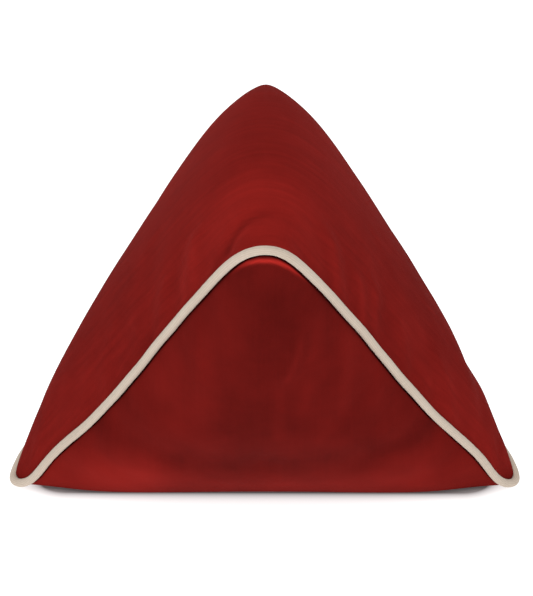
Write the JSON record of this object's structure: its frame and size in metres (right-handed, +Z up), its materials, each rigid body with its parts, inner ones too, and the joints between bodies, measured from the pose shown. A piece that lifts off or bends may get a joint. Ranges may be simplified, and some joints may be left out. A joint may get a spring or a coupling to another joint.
{
  "type": "pyramid cushion",
  "caption": "Filled velvet pyramid cushion with a soft ridge and contrast piping round its seam, standing on a flattened base fold.",
  "frame": {"origin": "middle of the footprint's box, on the surface that the cushion stands on", "axes": "+X from the left corner to the right corner, +Y from the near corner to the far corner along the ridge, +Z up"},
  "size_m": [0.4164, 0.4198, 0.3142],
  "materials": {
    "velvet": "short cotton velvet, dark red, matt with a soft sheen where it turns away",
    "piping_cloth": "plain woven cotton, cream, cut on the bias over a cord"
  },
  "bodies": {
    "root": {"cushion": "velvet", "piping": "piping_cloth"}
  },
  "joints": []
}
